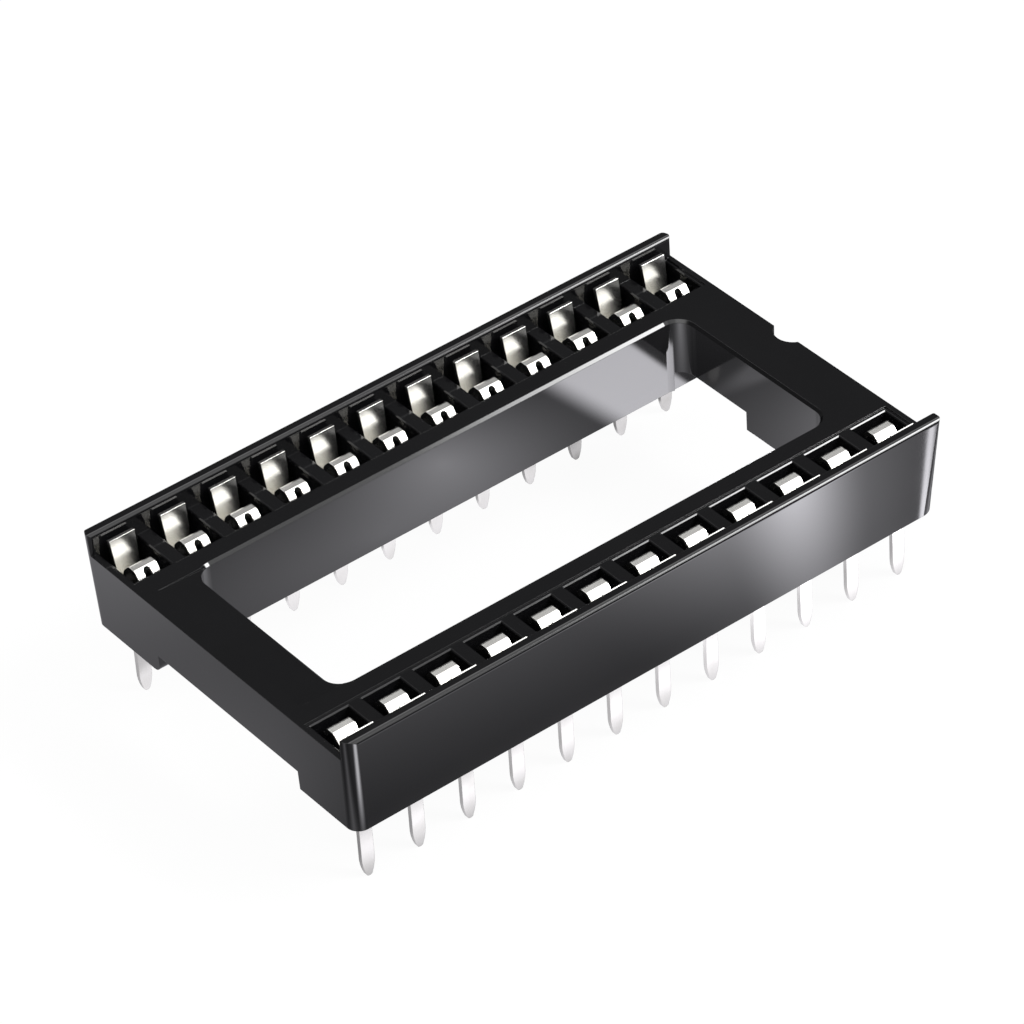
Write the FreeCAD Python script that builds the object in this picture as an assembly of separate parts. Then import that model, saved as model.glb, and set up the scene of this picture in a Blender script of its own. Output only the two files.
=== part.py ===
# Integrated circuit socket, 24 way, wide row spacing, dual leaf contacts
# x runs along the rows, y across them, z up from the face that stands on the board
import math
import os

import FreeCAD
import Part

V = FreeCAD.Vector

# Grid of the contacts
ways_per_row = 12
pitch = 2.54
row_spacing = 15.24

# Rails, measured from the row line outwards to the lip and inwards to the window
row_to_lip = 0.77
lip_thickness = 0.53
row_to_cell_inner = 1.67
rail_inner_wall = 1.14

# Outer frame
end_margin = 1.27
end_bar_width = 2.46
deck_height = 3.7
lip_height = 1.05
lip_edge_radius = 0.18
lip_end_radius = 0.2
far_corner_radius = 0.45
near_left_corner_radius = 0.6
near_right_corner_foot_radius = 0.75
near_right_corner_lip_radius = 0.2
wall_draft = 0.16

# Window between the rails
window_corner_radius = 0.82
window_edge_bevel = 0.12

# Undersides of the two end bars, raised so that the rails stand as feet
bar_relief = 0.95
near_foot_reach = 0.34
far_foot_reach = 0.5
right_foot_end_y = 0.57
foot_end_radius = 0.45

# Slight dip of the left end bar deck towards the window
bar_dip_depth = 0.07
bar_dip_reach = 1.75

# Polarising notch in the outer edge of the right end bar, a little off its middle
notch_width = 1.5
notch_depth = 0.42
notch_y = 0.8

# Cells for the contacts
cell_length = 1.84
cell_edge_chamfer = 0.05
trough_depth = 0.07
trough_margin = 0.16
pocket_depth = 0.8
floor_thickness = 0.8

# Contacts, folded from one strip each; u is the distance outwards from the row line
strip_thickness = 0.2
base_inner_u = -0.62
base_outer_u = 0.42
base_length = 1.1
bend_radius = 0.22
nip_below_deck = 1.4
nip_gap = 0.13
nip_radius = 1.2

# A bend with a smaller inner radius than this keeps a sharp inner corner
sharpest_inner_bend = 0.15

outer_leaf_below_lip = 0.43
outer_leaf_to_lip = 0.18
outer_leaf_top_length = 1.26
outer_leaf_neck_length = 1.14
outer_leaf_root_length = 0.8
neck_above_nip = 0.55
shoulder_above_nip = 0.2

fold_below_deck = 0.06
fold_outer_u = -0.74
fold_inner_u = -1.08
fold_radius = 0.06
lead_in_reach = 0.34
lead_in_drop = 0.36
inner_leaf_length = 1.08
prong_reach = 0.24
prong_drop = 0.3
prong_gap = 0.32
prong_bridge = 0.03

tail_width = 0.62
tail_thickness = 0.22
tail_length = 3.55
tail_taper_length = 1.1
tail_tip_width = 0.26

# Shares that shape the two arched outlines, the taper of the tail and the head of the gap between prongs
tail_shoulder_width_share = 0.86
tail_shoulder_height_share = 0.45
tail_tip_height_share = 0.45
prong_arch_share = 0.3

# Clearances between a contact and its cell
seat_clearance = 0.04
slot_clearance = 0.05

# Places worked out from the sizes above
row_y = row_spacing / 2
lip_inner_y = row_y + row_to_lip
body_width = 2 * (lip_inner_y + lip_thickness)
cell_inner_y = row_y - row_to_cell_inner
window_width = 2 * (cell_inner_y - rail_inner_wall)
body_length = (ways_per_row - 1) * pitch + 2 * end_margin
window_length = body_length - 2 * end_bar_width
lip_top = deck_height + lip_height
trough_inner_y = cell_inner_y - trough_margin
trough_level = deck_height - trough_depth
trough_end_x = (ways_per_row - 1) * pitch / 2 + cell_length / 2 + trough_margin
pocket_top = floor_thickness + pocket_depth
base_level = floor_thickness + strip_thickness / 2
nip_height = deck_height - nip_below_deck
fold_level = deck_height - fold_below_deck - strip_thickness / 2
outer_leaf_top = lip_top - outer_leaf_below_lip


def box(x0, x1, y0, y1, z0, z1):
    return Part.makeBox(x1 - x0, y1 - y0, z1 - z0, V(x0, y0, z0))


def along_z(z0, z1, tolerance=1e-6):
    """Test for straight edges that run from z0 to z1."""
    def test(edge):
        ends = sorted(v.Point.z for v in edge.Vertexes)
        return len(ends) == 2 and abs(ends[0] - z0) < tolerance and abs(ends[1] - z1) < tolerance
    return test


def way_x(index):
    return (index - (ways_per_row - 1) / 2) * pitch


# Frame of the housing
def drafted_slab(half, reach, along_x):
    """Block whose two faces lean outwards from foot to lip top by the draft, running along x or y."""
    low, high = half - wall_draft / 2, half + wall_draft / 2
    corners = [(-low, 0), (low, 0), (high, lip_top), (-high, lip_top)]
    if along_x:
        points = [V(-reach, y, z) for y, z in corners]
        return Part.Face(Part.makePolygon(points + points[:1])).extrude(V(2 * reach, 0, 0))
    points = [V(x, -reach, z) for x, z in corners]
    return Part.Face(Part.makePolygon(points + points[:1])).extrude(V(0, 2 * reach, 0))


def outer_block():
    """Deck slab and the two lips, with drafted walls, soft lip edges and rounded upright corners."""
    half_l, half_w = body_length / 2, body_width / 2
    block = drafted_slab(half_w, half_l + 1, True)
    block = block.cut(box(-half_l - 2, half_l + 2, -lip_inner_y, lip_inner_y, deck_height, lip_top + 1))
    lip_edges = [e for e in block.Edges if along_z(lip_top, lip_top)(e) and e.Length > half_l]
    block = block.makeFillet(lip_edge_radius, lip_edges)
    column = drafted_slab(half_l, half_w + 1, False).common(drafted_slab(half_w, half_l + 1, True))
    for side_x, side_y, radius in [(-1, 1, far_corner_radius), (1, 1, far_corner_radius),
                                   (-1, -1, near_left_corner_radius)]:
        column = round_upright(column, side_x, side_y, radius)
    return block.common(column).cut(near_right_corner())


def round_upright(column, side_x, side_y, radius):
    """Rounds the upright corner that stands on the given sides."""
    corner = V(side_x * body_length / 2, side_y * body_width / 2, lip_top / 2)
    edges = [e for e in column.Edges if along_z(0, lip_top)(e) and e.CenterOfMass.distanceToPoint(corner) < 0.01]
    return column.makeFillet(radius, edges)


def near_right_corner():
    """What is cut off the near right corner, whose rounding opens out from lip top to foot."""
    def sliver(radius, lean, z):
        x, y, out = body_length / 2 + lean, -body_width / 2 - lean, 0.5
        middle = radius * (1 - math.sqrt(0.5))
        arc = Part.Arc(V(x, y + radius, z), V(x - middle, y + middle, z), V(x - radius, y, z)).toShape()
        points = [V(x - radius, y, z), V(x - radius, y - out, z), V(x + out, y - out, z),
                  V(x + out, y + radius, z), V(x, y + radius, z)]
        return Part.Wire([arc] + Part.makePolygon(points).Edges)
    foot = sliver(near_right_corner_foot_radius, -wall_draft / 2, 0)
    lip = sliver(near_right_corner_lip_radius, wall_draft / 2, lip_top)
    return Part.makeLoft([foot, lip], True, True)


def lip_end_rounding():
    """Slivers that round the inner corners of the lip ends."""
    r, end_x = lip_end_radius, (body_length + wall_draft) / 2
    slivers = []
    for side_x in (-1, 1):
        for side_y in (-1, 1):
            x0, x1 = sorted((side_x * (end_x - r), side_x * (end_x + 1)))
            y0, y1 = sorted((side_y * (lip_inner_y - 0.01), side_y * (lip_inner_y + r)))
            corner = box(x0, x1, y0, y1, deck_height, lip_top + 1)
            centre = V(side_x * (end_x - r), side_y * (lip_inner_y + r), deck_height)
            slivers.append(corner.cut(Part.makeCylinder(r, lip_height + 1, centre)))
    return slivers


def window_cut():
    """Opening between the rails, with rounded corners."""
    half_l, half_w = window_length / 2, window_width / 2
    hole = box(-half_l, half_l, -half_w, half_w, -1, deck_height + 1)
    return hole.makeFillet(window_corner_radius, [e for e in hole.Edges if along_z(-1, deck_height + 1)(e)])


def soften_window(block):
    """Bevels the top edge of the window."""
    edges = []
    for edge in block.Edges:
        box_of_edge = edge.BoundBox
        flat = abs(box_of_edge.ZMin - deck_height) < 1e-6 and abs(box_of_edge.ZMax - deck_height) < 1e-6
        inside_x = max(abs(box_of_edge.XMin), abs(box_of_edge.XMax)) < window_length / 2 + 1e-6
        inside_y = max(abs(box_of_edge.YMin), abs(box_of_edge.YMax)) < window_width / 2 + 1e-6
        if flat and inside_x and inside_y:
            edges.append(edge)
    return block.makeChamfer(window_edge_bevel, edges)


def bar_reliefs():
    """Raised undersides of the two end bars; what stays below them are the feet."""
    half_l, half_w = body_length / 2, window_width / 2
    near_y, far_y = -half_w - near_foot_reach, half_w - far_foot_reach
    left = box(-half_l - 1, -window_length / 2 + 0.5, near_y, far_y, -1, bar_relief)
    right = box(window_length / 2 - 0.5, half_l + 1, right_foot_end_y, half_w, -1, bar_relief)
    return [left, right]


def foot_rounding():
    """Sliver that rounds the inner end of the far left foot."""
    x0, x1 = -body_length / 2 - 1, -window_length / 2 + 0.5
    r, y = foot_end_radius, window_width / 2 - far_foot_reach
    corner = box(x0, x1, y - 0.01, y + r, -0.01, r)
    drum = Part.makeCylinder(r, x1 - x0, V(x0, y + r, r), V(1, 0, 0))
    return corner.cut(drum)


def bar_dip():
    """Thin wedge that lets the left end bar deck sink towards the window."""
    half_y = window_width / 2
    edge_x = -window_length / 2
    inner_x, far_x = edge_x + 0.5, edge_x - bar_dip_reach
    low = deck_height - bar_dip_depth * (1 + 0.5 / bar_dip_reach)
    points = [V(inner_x, -half_y, low), V(far_x, -half_y, deck_height),
              V(far_x, -half_y, deck_height + 0.5), V(inner_x, -half_y, deck_height + 0.5)]
    return Part.Face(Part.makePolygon(points + points[:1])).extrude(V(0, 2 * half_y, 0))


def notch_cut():
    """Round notch in the outer edge of the right end bar."""
    radius = (notch_width ** 2 / 4 + notch_depth ** 2) / (2 * notch_depth)
    centre_x = body_length / 2 - notch_depth + radius
    return Part.makeCylinder(radius, lip_top + 2, V(centre_x, notch_y, -1))


# Cells
def trough_cut(side):
    """Shallow step along one row, which the cells open into."""
    y0, y1 = sorted((side * trough_inner_y, side * lip_inner_y))
    return box(-trough_end_x, trough_end_x, y0, y1, trough_level, deck_height + 0.3)


def cell_cut():
    """Cell of one contact about the row line: mouth, shaft, seat pocket and tail slot."""
    half = cell_length / 2
    inner, outer = cell_inner_y - row_y, lip_inner_y - row_y
    top = trough_level + 0.001
    shaft = box(-half, half, inner, outer, pocket_top, top)
    pocket_half = base_length / 2 + seat_clearance
    pocket = box(-pocket_half, pocket_half, base_inner_u - seat_clearance, base_outer_u + seat_clearance,
                 floor_thickness, pocket_top + 0.001)
    slot_x = tail_width / 2 + slot_clearance
    slot_y = tail_thickness / 2 + slot_clearance
    slot = box(-slot_x, slot_x, -slot_y, slot_y, -1, floor_thickness + 0.001)
    return shaft.fuse([chamfer_mouth(half, inner, outer, cell_edge_chamfer), pocket, slot])


def chamfer_mouth(half, inner, outer, c):
    """Small bevel round the mouth of a cell, flush with the lip on its outer side."""
    def ring(grow, z):
        points = [V(-half - grow, inner - grow, z), V(half + grow, inner - grow, z),
                  V(half + grow, outer, z), V(-half - grow, outer, z)]
        return Part.makePolygon(points + points[:1])
    return Part.makeLoft([ring(0, trough_level - c), ring(c + 0.002, trough_level + 0.002)], True, True)


def housing():
    block = outer_block().cut([window_cut()] + bar_reliefs() + [foot_rounding(), notch_cut()])
    block = soften_window(block)
    cuts = [bar_dip()] + lip_end_rounding()
    for side in (-1, 1):
        cuts.append(trough_cut(side))
    cell = cell_cut()
    for index in range(ways_per_row):
        for side in (-1, 1):
            cuts.append(placed(cell, index, side))
    return block.cut(cuts).removeSplitter()


# Contacts
def placed(shape, index, side):
    """Copy of a shape drawn about the row line, put in its place on the far or the near row."""
    copy = shape.copy()
    if side < 0:
        copy.rotate(V(0, 0, 0), V(0, 0, 1), 180)
    copy.translate(V(way_x(index), side * row_y, 0))
    return copy


def left_of(direction):
    return V(0, -direction.z, direction.y)


def strip_face_line(path, side):
    """Edges of one face of a bent strip, to the left (1) or right (-1) of its path, with both end points."""
    half = strip_thickness / 2
    points = [V(0, u, z) for u, z, _ in path]
    runs = [(b - a).normalize() for a, b in zip(points, points[1:])]
    last = points[0] + left_of(runs[0]) * (side * half)
    start, edges = last, []
    for i in range(1, len(points) - 1):
        into, away, bend = runs[i - 1], runs[i], path[i][2]
        n1, n2 = left_of(into), left_of(away)
        mitre = points[i] + (n1 + n2) * (side * half / (1 + n1.dot(n2)))
        inside = (into.y * away.z - into.z * away.y) * side > 0
        radius = bend - half if inside else bend + half
        if radius < sharpest_inner_bend:
            edges.append(Part.makeLine(last, mitre))
            last = mitre
            continue
        reach = radius * math.tan(into.getAngle(away) / 2)
        enter, leave = mitre - into * reach, mitre + away * reach
        centre = enter + n1 * (radius * side * (1 if inside else -1))
        middle = centre + (mitre - centre).normalize() * radius
        edges.append(Part.makeLine(last, enter))
        edges.append(Part.Arc(enter, middle, leave).toShape())
        last = leave
    end = points[-1] + left_of(runs[-1]) * (side * half)
    edges.append(Part.makeLine(last, end))
    return edges, start, end


def strip(path, length):
    """Sheet of strip thickness that follows a path of (u, z, bend radius) corners, length wide in x."""
    left, left_start, left_end = strip_face_line(path, 1)
    right, right_start, right_end = strip_face_line(path, -1)
    ends = [Part.makeLine(left_start, right_start), Part.makeLine(left_end, right_end)]
    face = Part.Face(Part.Wire(Part.__sortEdges__(left + right + ends)))
    sheet = face.extrude(V(length, 0, 0))
    sheet.translate(V(-length / 2, 0, 0))
    return sheet


def outer_leaf():
    """Tall leaf that leans outwards above the nip, trimmed to its tapered outline."""
    mid_u = (base_inner_u + base_outer_u) / 2
    root_u = base_outer_u - strip_thickness / 2
    nip_u = (nip_gap + strip_thickness) / 2
    top_u = row_to_lip - outer_leaf_to_lip - strip_thickness / 2
    path = [(mid_u, base_level, 0), (root_u, base_level, bend_radius),
            (nip_u, nip_height, nip_radius), (top_u, outer_leaf_top, 0)]
    sheet = strip(path, outer_leaf_top_length)
    return sheet.common(leaf_outline())


def leaf_outline():
    """Front outline of the tall leaf: wide top with rounded corners, shoulders, narrow root."""
    top, neck, root = outer_leaf_top_length / 2, outer_leaf_neck_length / 2, outer_leaf_root_length / 2
    low, high = floor_thickness - 0.5, outer_leaf_top + 0.5
    neck_height, shoulder_height = nip_height + neck_above_nip, nip_height + shoulder_above_nip
    depth = 2.0
    points = [V(-root, -depth, low), V(root, -depth, low), V(root, -depth, shoulder_height),
              V(neck, -depth, neck_height), V(top, -depth, outer_leaf_top), V(top, -depth, high),
              V(-top, -depth, high), V(-top, -depth, outer_leaf_top), V(-neck, -depth, neck_height),
              V(-root, -depth, shoulder_height)]
    return Part.Face(Part.makePolygon(points + points[:1])).extrude(V(0, 2 * depth, 0))


def inner_leaf():
    """Short leaf with a sloping lead-in, folded over at the top and ending in two prongs on its inward side."""
    mid_u = (base_inner_u + base_outer_u) / 2
    root_u = base_inner_u + strip_thickness / 2
    nip_u = -(nip_gap + strip_thickness) / 2
    path = [(mid_u, base_level, 0), (root_u, base_level, bend_radius),
            (nip_u, nip_height, nip_radius),
            (fold_outer_u + lead_in_reach, fold_level - lead_in_drop, 2 * fold_radius),
            (fold_outer_u, fold_level, fold_radius), (fold_inner_u, fold_level, fold_radius),
            (fold_inner_u - prong_reach, fold_level - prong_drop, 0)]
    return strip(path, inner_leaf_length).cut(prong_notch())


def prong_notch():
    """Gap between the two prongs, open at their tips, with an arched head."""
    half, slant = prong_gap / 2, prong_gap * prong_arch_share
    head_y = fold_inner_u - prong_bridge
    tip_y = fold_inner_u - prong_reach - strip_thickness
    low, high = fold_level - prong_drop - strip_thickness, fold_level + strip_thickness
    points = [V(-half, tip_y, low), V(half, tip_y, low), V(half, head_y - slant, low), V(half - slant, head_y, low),
              V(slant - half, head_y, low), V(-half, head_y - slant, low)]
    return Part.Face(Part.makePolygon(points + points[:1])).extrude(V(0, 0, high - low))


def tail():
    """Flat tail below the base, drawn in to a rounded bullet tip."""
    half, tip = tail_width / 2, tail_tip_width / 2
    bottom, taper = -tail_length, -tail_length + tail_taper_length
    y = -tail_thickness / 2
    top_z = base_level
    tip_z = bottom + tip * tail_tip_height_share
    shoulder = V(half * tail_shoulder_width_share, y, bottom + tail_taper_length * tail_shoulder_height_share)
    right = [Part.makeLine(V(half, y, top_z), V(half, y, taper)),
             Part.Arc(V(half, y, taper), shoulder, V(tip, y, tip_z)).toShape()]
    point = Part.Arc(V(tip, y, tip_z), V(0, y, bottom), V(-tip, y, tip_z)).toShape()
    shoulder_left = V(-shoulder.x, y, shoulder.z)
    left = [Part.Arc(V(-tip, y, tip_z), shoulder_left, V(-half, y, taper)).toShape(),
            Part.makeLine(V(-half, y, taper), V(-half, y, top_z))]
    cap = Part.makeLine(V(-half, y, top_z), V(half, y, top_z))
    face = Part.Face(Part.Wire(right + [point] + left + [cap]))
    return face.extrude(V(0, tail_thickness, 0))


def contact():
    body = outer_leaf().fuse([inner_leaf(), tail()])
    base = box(-base_length / 2, base_length / 2, base_inner_u + bend_radius, base_outer_u - bend_radius,
               floor_thickness, floor_thickness + strip_thickness)
    return body.fuse(base).removeSplitter()


# Files
def save(name, shape):
    shape.exportStep(os.path.join("parts", name + ".step"))


def contact_name(index, side):
    """Ways are counted as on the chip: along the far row from the notch, then back along the near row."""
    number = ways_per_row - index if side > 0 else ways_per_row + 1 + index
    return "contact_%02d" % number


def build():
    os.makedirs("parts", exist_ok=True)
    save("housing", housing())
    one = contact()
    for side in (1, -1):
        for index in range(ways_per_row):
            save(contact_name(index, side), placed(one, index, side))


build()
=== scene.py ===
import math

import bpy
from mathutils import Matrix, Vector


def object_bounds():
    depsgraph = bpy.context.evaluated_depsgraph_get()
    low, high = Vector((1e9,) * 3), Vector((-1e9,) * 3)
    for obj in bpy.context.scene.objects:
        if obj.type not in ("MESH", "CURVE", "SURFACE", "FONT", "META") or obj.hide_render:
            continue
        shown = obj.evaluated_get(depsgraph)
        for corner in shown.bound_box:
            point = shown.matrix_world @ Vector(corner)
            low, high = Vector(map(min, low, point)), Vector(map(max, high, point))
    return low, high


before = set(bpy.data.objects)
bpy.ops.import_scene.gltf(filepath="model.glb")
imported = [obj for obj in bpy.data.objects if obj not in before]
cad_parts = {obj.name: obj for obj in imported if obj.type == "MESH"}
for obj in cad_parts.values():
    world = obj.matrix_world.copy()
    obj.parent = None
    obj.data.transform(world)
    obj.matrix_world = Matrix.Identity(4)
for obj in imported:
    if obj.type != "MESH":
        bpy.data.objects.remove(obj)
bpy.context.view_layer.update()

# Housing: one glossy black moulding in glass-filled polyester, with the rails, end bars, lips and
# feet in one piece. It comes from a polished steel mould, so its faces are smooth, with a faint
# flow pattern and slightly dulled patches. The contacts are pressed into its cells.
MM = 0.001
plastic_black = (0.0040, 0.0040, 0.0045, 1.0)
plastic_worn = (0.0056, 0.0056, 0.0062, 1.0)
plastic_polished, plastic_dulled = 0.05, 0.08
plastic_index = 1.52
flow_pattern = {"Scale": 260.0, "Detail": 4.0, "Distortion": 0.6}
mould_grain = {"Scale": 5200.0, "Detail": 2.0}
mould_edge_radius, mould_edge_samples = 0.02 * MM, 16
mould_bump, mould_bump_depth = 0.012, 0.01 * MM


def join_sockets(material, pairs):
    """Joins node outputs to node inputs, given as pairs."""
    for output, socket in pairs:
        material.node_tree.links.new(output, socket)


def add_node(material, kind, values):
    """New node of a kind in a material, with the values of its named inputs."""
    node = material.node_tree.nodes.new(kind)
    for socket_name, value in values.items():
        node.inputs[socket_name].default_value = value
    return node


def new_material(name):
    """Node material with its shader and output; returns the material and the shader."""
    material = bpy.data.materials.new(name)
    material.use_nodes = True
    return material, material.node_tree.nodes["Principled BSDF"]


def two_tones(material, pattern, low, high, low_place=0.0, high_place=1.0):
    """Colour that runs from one tone to another with a pattern."""
    tint = material.node_tree.nodes.new("ShaderNodeValToRGB")
    first, last = tint.color_ramp.elements
    first.position, first.color = low_place, low
    last.position, last.color = high_place, high
    join_sockets(material, [(pattern, tint.inputs["Fac"])])
    return tint.outputs["Color"]


def between(material, pattern, low, high):
    """Value that runs from one number to another with a pattern."""
    spread = add_node(material, "ShaderNodeMapRange", {"To Min": low, "To Max": high})
    join_sockets(material, [(pattern, spread.inputs["Value"])])
    return spread.outputs["Result"]


def relief(material, pattern, radius, samples, strength, depth):
    """Surface direction with softened edges and a fine relief from a pattern."""
    soft_edge = add_node(material, "ShaderNodeBevel", {"Radius": radius})
    soft_edge.samples = samples
    bump = add_node(material, "ShaderNodeBump", {"Strength": strength, "Distance": depth})
    join_sockets(material, [
        (pattern, bump.inputs["Height"]),
        (soft_edge.outputs["Normal"], bump.inputs["Normal"]),
    ])
    return bump.outputs["Normal"]


def moulded_plastic(name):
    """Black plastic with flow mottling, soft edge radii and a fine polished grain."""
    material, shader = new_material(name)
    place = add_node(material, "ShaderNodeTexCoord", {}).outputs["Object"]
    flow = add_node(material, "ShaderNodeTexNoise", flow_pattern)
    grain = add_node(material, "ShaderNodeTexNoise", mould_grain)
    flow_out, grain_out = flow.outputs["Fac"], grain.outputs["Fac"]
    tint = two_tones(material, flow_out, plastic_black, plastic_worn)
    dull = between(material, flow_out, plastic_polished, plastic_dulled)
    facing = relief(material, grain_out, mould_edge_radius, mould_edge_samples,
                    mould_bump, mould_bump_depth)
    join_sockets(material, [
        (place, flow.inputs["Vector"]),
        (place, grain.inputs["Vector"]),
        (tint, shader.inputs["Base Color"]),
        (dull, shader.inputs["Roughness"]),
        (facing, shader.inputs["Normal"]),
    ])
    shader.inputs["IOR"].default_value = plastic_index
    return material


def dress(node_name, material):
    """Gives every material slot of a CAD node one material."""
    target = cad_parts[node_name]
    if not target.material_slots:
        target.data.materials.append(material)
    for slot in target.material_slots:
        slot.material = material


housing_plastic = moulded_plastic("black moulded plastic")
dress("housing", housing_plastic)

# Contacts: each is stamped and folded from one strip of copper alloy, plated with bright tin and
# pressed into its cell. The rolling lines of the strip run along it, the tin is a little cloudy,
# and the cut edges and the bends catch the light.
tin_bright = (0.88, 0.87, 0.84, 1.0)
tin_shaded = (0.82, 0.81, 0.775, 1.0)
tin_shaded_below, tin_bright_above = 0.3, 0.6
tin_polished, tin_dulled = 0.22, 0.25
rolling_lines = {"Scale": 1.0, "Detail": 3.0}
rolling_stretch = (2600.0, 700.0, 300.0)
tin_clouds = {"Scale": 1500.0, "Detail": 3.0}
strip_edge_radius, strip_edge_samples = 0.04 * MM, 10
rolling_bump, rolling_bump_depth = 0.004, 0.004 * MM


def tinned_strip(name):
    """Bright tin plate with fine rolling lines and cloudy patches."""
    material, shader = new_material(name)
    place = add_node(material, "ShaderNodeTexCoord", {}).outputs["Object"]
    stretch = add_node(material, "ShaderNodeMapping", {"Scale": rolling_stretch})
    rolling = add_node(material, "ShaderNodeTexNoise", rolling_lines)
    cloud = add_node(material, "ShaderNodeTexNoise", tin_clouds)
    rolling_out, cloud_out = rolling.outputs["Fac"], cloud.outputs["Fac"]
    tint = two_tones(material, cloud_out, tin_shaded, tin_bright,
                     tin_shaded_below, tin_bright_above)
    dull = between(material, rolling_out, tin_polished, tin_dulled)
    facing = relief(material, rolling_out, strip_edge_radius, strip_edge_samples,
                    rolling_bump, rolling_bump_depth)
    join_sockets(material, [
        (place, stretch.inputs["Vector"]),
        (stretch.outputs["Vector"], rolling.inputs["Vector"]),
        (place, cloud.inputs["Vector"]),
        (tint, shader.inputs["Base Color"]),
        (dull, shader.inputs["Roughness"]),
        (facing, shader.inputs["Normal"]),
    ])
    shader.inputs["Metallic"].default_value = 1.0
    return material


contact_tin = tinned_strip("tin plated strip")
for contact_node in sorted(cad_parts):
    if contact_node.startswith("contact_"):
        dress(contact_node, contact_tin)

# Floor: a plain white sheet that the tails stand on. It takes the faint shadow of the socket.
# Pools and panes of light are painted on it as a glow that only glossy rays see, so the glossy
# walls and the tails show painted reflections of them; between them it mirrors a dim painted level.
floor_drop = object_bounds()[0].z
floor_half = 2.0
sheet_white = (0.9, 0.9, 0.9, 1.0)
sheet_glow, sheet_glow_share = 1.0, 0.95
# Painted reflection of the sheet: the tint and dim level that glossy rays see on it, and the pools
# and panes of light painted onto that.
painted_mirror_tint = (0.992, 0.98, 1.035, 1.0)
painted_mirror_level = 0.12
painted_light_pools = [
    # middle and reach in mm, both along x and y, turn in degrees, level of the middle and the
    # most that the pool gives
    ((12.0, -20.0), (12.0, 17.0), 0.0, 4.0, 9.0),
    ((16.45, -20.0), (3.6, 17.0), 36.0, 9.6, 9.0),
    ((4.4, -1.6), (8.0, 8.0), 0.0, 2.2, 9.0),
    ((-0.5, 0.5), (28.0, 12.5), 0.0, 1.75, 9.0),
    ((8.0, -26.0), (60.0, 19.0), 0.0, 3.0, 9.0),
    ((-22.0, 16.0), (24.0, 24.0), 0.0, 0.8, 9.0),
    ((-15.5, -16.4), (3.0, 6.0), 0.0, 14.0, 7.0),
    ((0.0, -9.2), (120.0, 3.4), 0.0, 1.3, 9.0),
    ((-3.6, 7.0), (14.0, 1.5), 0.0, 12.0, 0.45),
    ((16.0, 7.0), (7.4, 1.5), 0.0, 12.0, 0.5),
]
painted_light_panes = [
    # left and right side, each as where it crosses y = 0, its move in x for a step in y and how
    # soft it is, then the near and far edge and how soft those are, all in mm, and the level of the
    # painted light: one pane painted under the window's right end and one beside the near right
    # corner
    ((11.75, 0.12, 0.8), (15.9, 0.0, 0.2), -3.3, 3.0, 0.3, 7.0),
    ((4.97, -1.019, 0.10), (5.19, -1.03, 0.10), -18.0, -9.5, 1.0, 9.5),
]


def work_out(material, operation, first, second, third=None):
    """Math node on node outputs or numbers."""
    sum_node = material.node_tree.nodes.new("ShaderNodeMath")
    sum_node.operation = operation
    for socket, value in zip(sum_node.inputs, (first, second, third)):
        if isinstance(value, float):
            socket.default_value = value
        elif value is not None:
            join_sockets(material, [(value, socket)])
    return sum_node.outputs["Value"]


def painted_pool(material, place, middle, reach, turn, strength, most):
    """Round pool of painted light that fades out at its reach and is even where it would pass its
    most.
    """
    around = add_node(material, "ShaderNodeMapping", {
        "Location": (middle[0] * MM, middle[1] * MM, 0.0),
        "Rotation": (0.0, 0.0, math.radians(turn)),
        "Scale": (reach[0] * MM, reach[1] * MM, 1.0),
    })
    around.vector_type = "TEXTURE"
    fade = material.node_tree.nodes.new("ShaderNodeTexGradient")
    fade.gradient_type = "QUADRATIC_SPHERE"
    join_sockets(material, [
        (place, around.inputs["Vector"]),
        (around.outputs["Vector"], fade.inputs["Vector"]),
    ])
    return work_out(material, "MINIMUM",
                    work_out(material, "MULTIPLY", fade.outputs["Fac"], strength), most)


def rising(material, value, middle, rim):
    """Soft step from nothing to one about a place in mm; a negative rim makes it fall instead."""
    low, high = sorted(((middle - rim) * MM, (middle + rim) * MM))
    start, end = (0.0, 1.0) if rim > 0 else (1.0, 0.0)
    step = add_node(material, "ShaderNodeMapRange",
                    {"From Min": low, "From Max": high, "To Min": start, "To Max": end})
    step.interpolation_type = "SMOOTHSTEP"
    join_sockets(material, [(value, step.inputs["Value"])])
    return step.outputs["Result"]


def painted_pane(material, x, y, left, right, near, far, end_rim, level):
    """Pane of painted light with straight edges, whose two sides may lean."""
    left_place, left_lean, left_rim = left
    right_place, right_lean, right_rim = right
    past_left = work_out(material, "MULTIPLY_ADD", y, -left_lean, x)
    past_right = work_out(material, "MULTIPLY_ADD", y, -right_lean, x)
    edges = [
        rising(material, past_left, left_place, left_rim),
        rising(material, past_right, right_place, -right_rim),
        rising(material, y, near, end_rim),
        rising(material, y, far, -end_rim),
    ]
    glow = level
    for edge in edges:
        glow = work_out(material, "MULTIPLY", edge, glow)
    return glow


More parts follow.
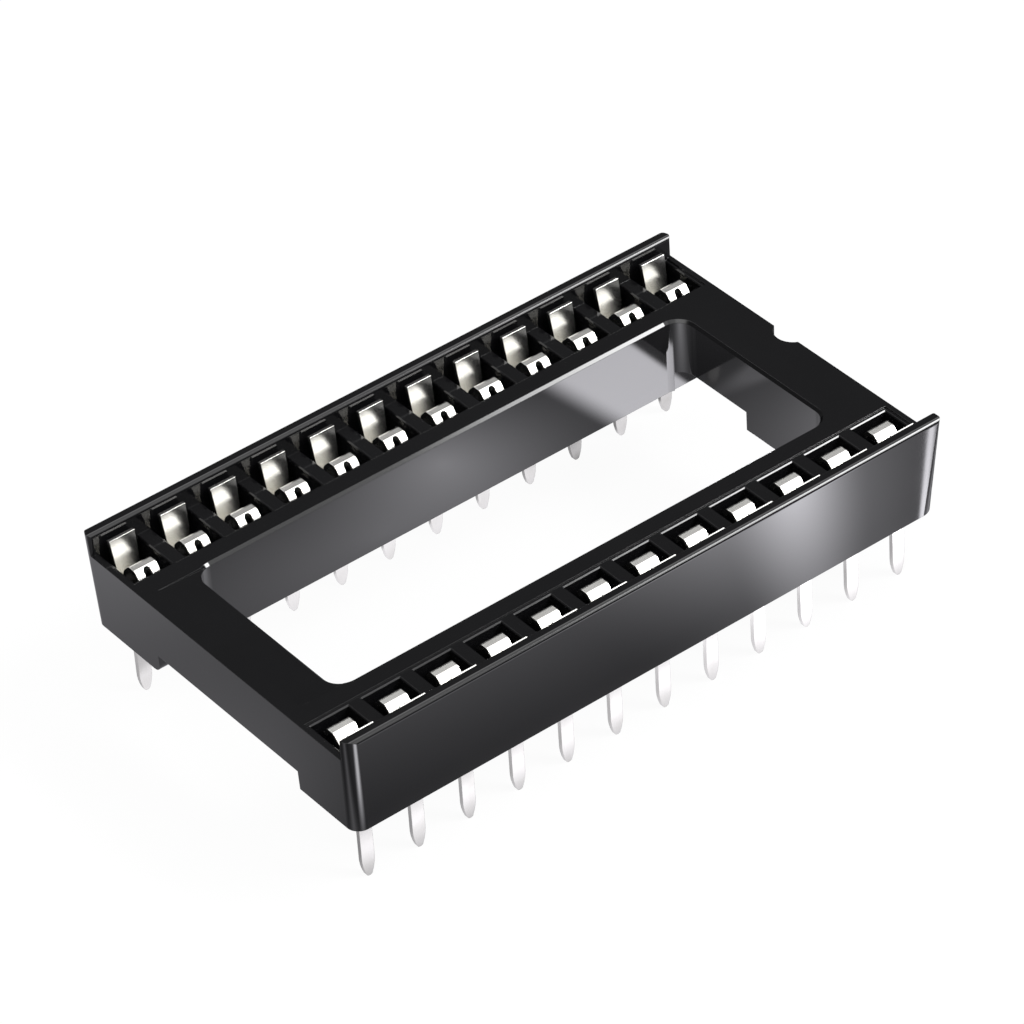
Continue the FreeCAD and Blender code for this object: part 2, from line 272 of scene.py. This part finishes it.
def white_floor(name):
    """White sheet that glows, so that its shadows stay faint; glossy rays see a painted glow of
    pools and panes of light on it instead.
    """
    material, spare_shader = new_material(name)
    material.node_tree.nodes.remove(spare_shader)
    place = add_node(material, "ShaderNodeTexCoord", {}).outputs["Object"]
    split = add_node(material, "ShaderNodeSeparateXYZ", {})
    join_sockets(material, [(place, split.inputs["Vector"])])
    x, y = split.outputs["X"], split.outputs["Y"]
    # Painted light: the glow that glossy rays see, a dim level plus the painted pools and panes.
    level = painted_mirror_level
    for pool in painted_light_pools:
        level = work_out(material, "ADD", painted_pool(material, place, *pool), level)
    for pane in painted_light_panes:
        level = work_out(material, "ADD", painted_pane(material, x, y, *pane), level)
    matt = add_node(material, "ShaderNodeBsdfDiffuse", {"Color": sheet_white})
    glow = add_node(material, "ShaderNodeEmission", {"Strength": sheet_glow})
    share = add_node(material, "ShaderNodeMixShader", {"Fac": sheet_glow_share})
    painted_mirror_glow = add_node(material, "ShaderNodeEmission", {"Color": painted_mirror_tint})
    ray = add_node(material, "ShaderNodeLightPath", {})
    choose = add_node(material, "ShaderNodeMixShader", {})
    surface = material.node_tree.nodes["Material Output"].inputs["Surface"]
    join_sockets(material, [
        (matt.outputs["BSDF"], share.inputs[1]),
        (glow.outputs["Emission"], share.inputs[2]),
        (level, painted_mirror_glow.inputs["Strength"]),
        (ray.outputs["Is Glossy Ray"], choose.inputs["Fac"]),
        (share.outputs["Shader"], choose.inputs[1]),
        (painted_mirror_glow.outputs["Emission"], choose.inputs[2]),
        (choose.outputs["Shader"], surface),
    ])
    return material


sheet_corners = [(-floor_half, -floor_half, floor_drop), (floor_half, -floor_half, floor_drop),
                 (floor_half, floor_half, floor_drop), (-floor_half, floor_half, floor_drop)]
floor_mesh = bpy.data.meshes.new("white sheet")
floor_mesh.from_pydata(sheet_corners, [], [(0, 1, 2, 3)])
floor = bpy.data.objects.new("white sheet", floor_mesh)
bpy.context.scene.collection.objects.link(floor)
floor_mesh.materials.append(white_floor("white sheet"))

# Studio light: a dim room with a bright ceiling and soft boxes, drawn into the surroundings by
# direction. Three bright round boxes stand at the right front: they whiten the edges at that end
# more than those at the left, and show only in the first mirror picture of a surface.
room_level, ceiling_level = 0.13, 1.9
ceiling_starts, ceiling_full = 0.64, 0.80
soft_boxes = [
    # direction towards the box, angular radius in degrees, softness of its rim, strength
    ((0.46, -0.69, 0.56), 16.0, 6.0, 1.7),
    ((-0.60, -0.30, 0.74), 20.0, 8.0, 1.5),
    ((0.46, 0.45, 0.765), 8.0, 3.0, 1.6),
]
key_boxes = [
    ((0.573, -0.694, 0.436), 6.5, 2.2, 16.0),
    ((0.573, -0.548, 0.609), 6.5, 2.2, 30.0),
    ((0.573, -0.372, 0.730), 6.5, 2.2, 30.0),
]
second_mirror_depth = 1.5
studio = bpy.data.worlds.new("studio")
studio.use_nodes = True
bpy.context.scene.world = studio
studio.node_tree.nodes.clear()


def smooth_step(value, start, end, low, high):
    """Smooth change from one level to another as a value runs from start to end."""
    step = add_node(studio, "ShaderNodeMapRange",
                    {"From Min": start, "From Max": end, "To Min": low, "To Max": high})
    step.interpolation_type = "SMOOTHSTEP"
    join_sockets(studio, [(value, step.inputs["Value"])])
    return step.outputs["Result"]


def soft_disc(look, direction, radius, rim, strength):
    """Round box of light in a direction, with a soft rim; angles in degrees."""
    facing = studio.node_tree.nodes.new("ShaderNodeVectorMath")
    facing.operation = "DOT_PRODUCT"
    facing.inputs[1].default_value = Vector(direction).normalized()
    join_sockets(studio, [(look, facing.inputs[0])])
    outer = math.cos(math.radians(radius + rim))
    inner = math.cos(math.radians(radius - rim))
    return smooth_step(facing.outputs["Value"], outer, inner, 0.0, strength)


def studio_light():
    """Draws the room, its ceiling and all the boxes into the surroundings."""
    look = add_node(studio, "ShaderNodeTexCoord", {}).outputs["Generated"]
    split = add_node(studio, "ShaderNodeSeparateXYZ", {})
    join_sockets(studio, [(look, split.inputs["Vector"])])
    total = smooth_step(split.outputs["Z"], ceiling_starts, ceiling_full, room_level, ceiling_level)
    for box in soft_boxes:
        total = work_out(studio, "ADD", total, soft_disc(look, *box))
    bounce = add_node(studio, "ShaderNodeLightPath", {}).outputs["Glossy Depth"]
    first_mirror = work_out(studio, "LESS_THAN", bounce, second_mirror_depth)
    for box in key_boxes:
        shown = work_out(studio, "MULTIPLY", soft_disc(look, *box), first_mirror)
        total = work_out(studio, "ADD", total, shown)
    light = add_node(studio, "ShaderNodeBackground", {})
    surroundings = add_node(studio, "ShaderNodeOutputWorld", {})
    join_sockets(studio, [
        (total, light.inputs["Strength"]),
        (light.outputs["Background"], surroundings.inputs["Surface"]),
    ])


studio_light()

# Camera: stands off the near left corner and looks down on the socket through a long lens, a
# little tilted. Its place and angles were found by fitting the socket's edges and tails to the
# photograph.
camera_azimuth = math.radians(35.8625)
camera_elevation = math.radians(38.4972)
camera_roll = math.radians(4.0577)
camera_place = Vector((-102.226, -141.131, 141.382)) * MM
focal_pixels, picture_pixels = 5433.57, 1024
sensor_width = 36.0
nearest_seen, farthest_seen = 0.01, 10.0

forward = Vector((math.sin(camera_azimuth) * math.cos(camera_elevation),
                  math.cos(camera_azimuth) * math.cos(camera_elevation),
                  -math.sin(camera_elevation)))
level_right = Vector((math.cos(camera_azimuth), -math.sin(camera_azimuth), 0.0))
level_down = forward.cross(level_right)
camera_right = level_right * math.cos(camera_roll) + level_down * math.sin(camera_roll)
camera_down = -level_right * math.sin(camera_roll) + level_down * math.cos(camera_roll)
camera_data = bpy.data.cameras.new("camera")
camera_data.sensor_width = sensor_width
camera_data.lens = focal_pixels / picture_pixels * sensor_width
camera_data.clip_start, camera_data.clip_end = nearest_seen, farthest_seen
camera = bpy.data.objects.new("camera", camera_data)
bpy.context.scene.collection.objects.link(camera)
camera_pose = Matrix((camera_right, -camera_down, -forward)).transposed().to_4x4()
camera_pose.translation = camera_place
camera.matrix_world = camera_pose
bpy.context.scene.camera = camera
bpy.context.scene.view_settings.view_transform = "Standard"
